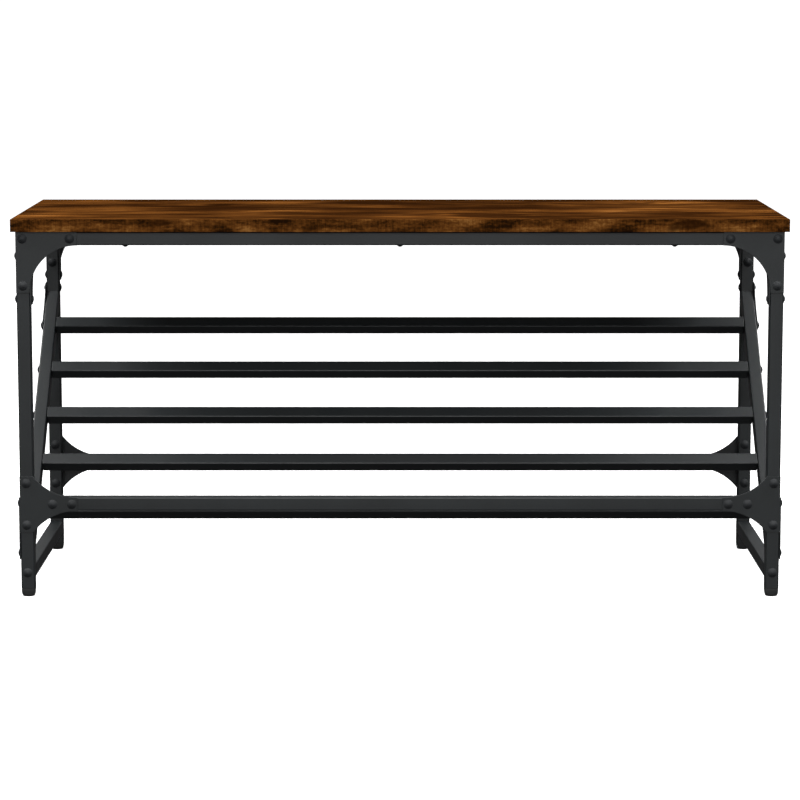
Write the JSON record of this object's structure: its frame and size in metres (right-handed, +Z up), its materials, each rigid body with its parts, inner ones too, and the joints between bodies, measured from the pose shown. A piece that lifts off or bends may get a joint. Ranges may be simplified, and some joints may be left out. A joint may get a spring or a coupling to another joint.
{
  "type": "entryway bench",
  "caption": "Long low bench with a wood-look board seat on a bolted frame of square steel tube, over a sloping shoe shelf of square bars.",
  "frame": {"origin": "middle of the four feet, on the floor", "axes": "+X along the bench to the right seen from the front, +Y from the front to the back, +Z up"},
  "size_m": [0.92, 0.3, 0.455],
  "materials": {
    "smoked_oak": "satin printed oak grain, smoked brown, grain along the bench",
    "black_steel": "satin black powder coat",
    "bolt_steel": "satin black domed bolt heads",
    "black_plastic": "fine matte moulded plastic"
  },
  "bodies": {
    "root": {"seat_board": "smoked_oak", "leg_front_left": "black_steel", "foot_front_left": "black_plastic", "corner_gusset_front_left": "black_steel", "side_gusset_front_left": "black_steel", "rail_gusset_front_left": "black_steel", "brace_plate_front_left": "black_steel", "foot_rail_bolt_front_left": "bolt_steel", "leg_front_right": "black_steel", "foot_front_right": "black_plastic", "corner_gusset_front_right": "black_steel", "side_gusset_front_right": "black_steel", "rail_gusset_front_right": "black_steel", "brace_plate_front_right": "black_steel", "foot_rail_bolt_front_right": "bolt_steel", "top_rail_front": "black_steel", "lower_rail_front": "black_steel", "board_screw_front_left": "bolt_steel", "board_screw_front_middle": "bolt_steel", "board_screw_front_right": "bolt_steel", "leg_back_left": "black_steel", "foot_back_left": "black_plastic", "corner_gusset_back_left": "black_steel", "side_gusset_back_left": "black_steel", "rail_gusset_back_left": "black_steel", "brace_plate_back_left": "black_steel", "foot_rail_bolt_back_left": "bolt_steel", "leg_back_right": "black_steel", "foot_back_right": "black_plastic", "corner_gusset_back_right": "black_steel", "side_gusset_back_right": "black_steel", "rail_gusset_back_right": "black_steel", "brace_plate_back_right": "black_steel", "foot_rail_bolt_back_right": "bolt_steel", "top_rail_back": "black_steel", "lower_rail_back": "black_steel", "board_screw_back_left": "bolt_steel", "board_screw_back_middle": "bolt_steel", "board_screw_back_right": "bolt_steel", "top_rail_left": "black_steel", "foot_rail_left": "black_steel", "brace_left": "black_steel", "bar_bolt_left_1": "bolt_steel", "bar_bolt_left_2": "bolt_steel", "bar_bolt_left_3": "bolt_steel", "bar_bolt_left_4": "bolt_steel", "bar_bolt_left_5": "bolt_steel", "top_rail_right": "black_steel", "foot_rail_right": "black_steel", "brace_right": "black_steel", "bar_bolt_right_1": "bolt_steel", "bar_bolt_right_2": "bolt_steel", "bar_bolt_right_3": "bolt_steel", "bar_bolt_right_4": "bolt_steel", "bar_bolt_right_5": "bolt_steel", "shelf_bar_1": "black_steel", "shelf_bar_2": "black_steel", "shelf_bar_3": "black_steel", "shelf_bar_4": "black_steel", "shelf_bar_5": "black_steel"}
  },
  "joints": []
}
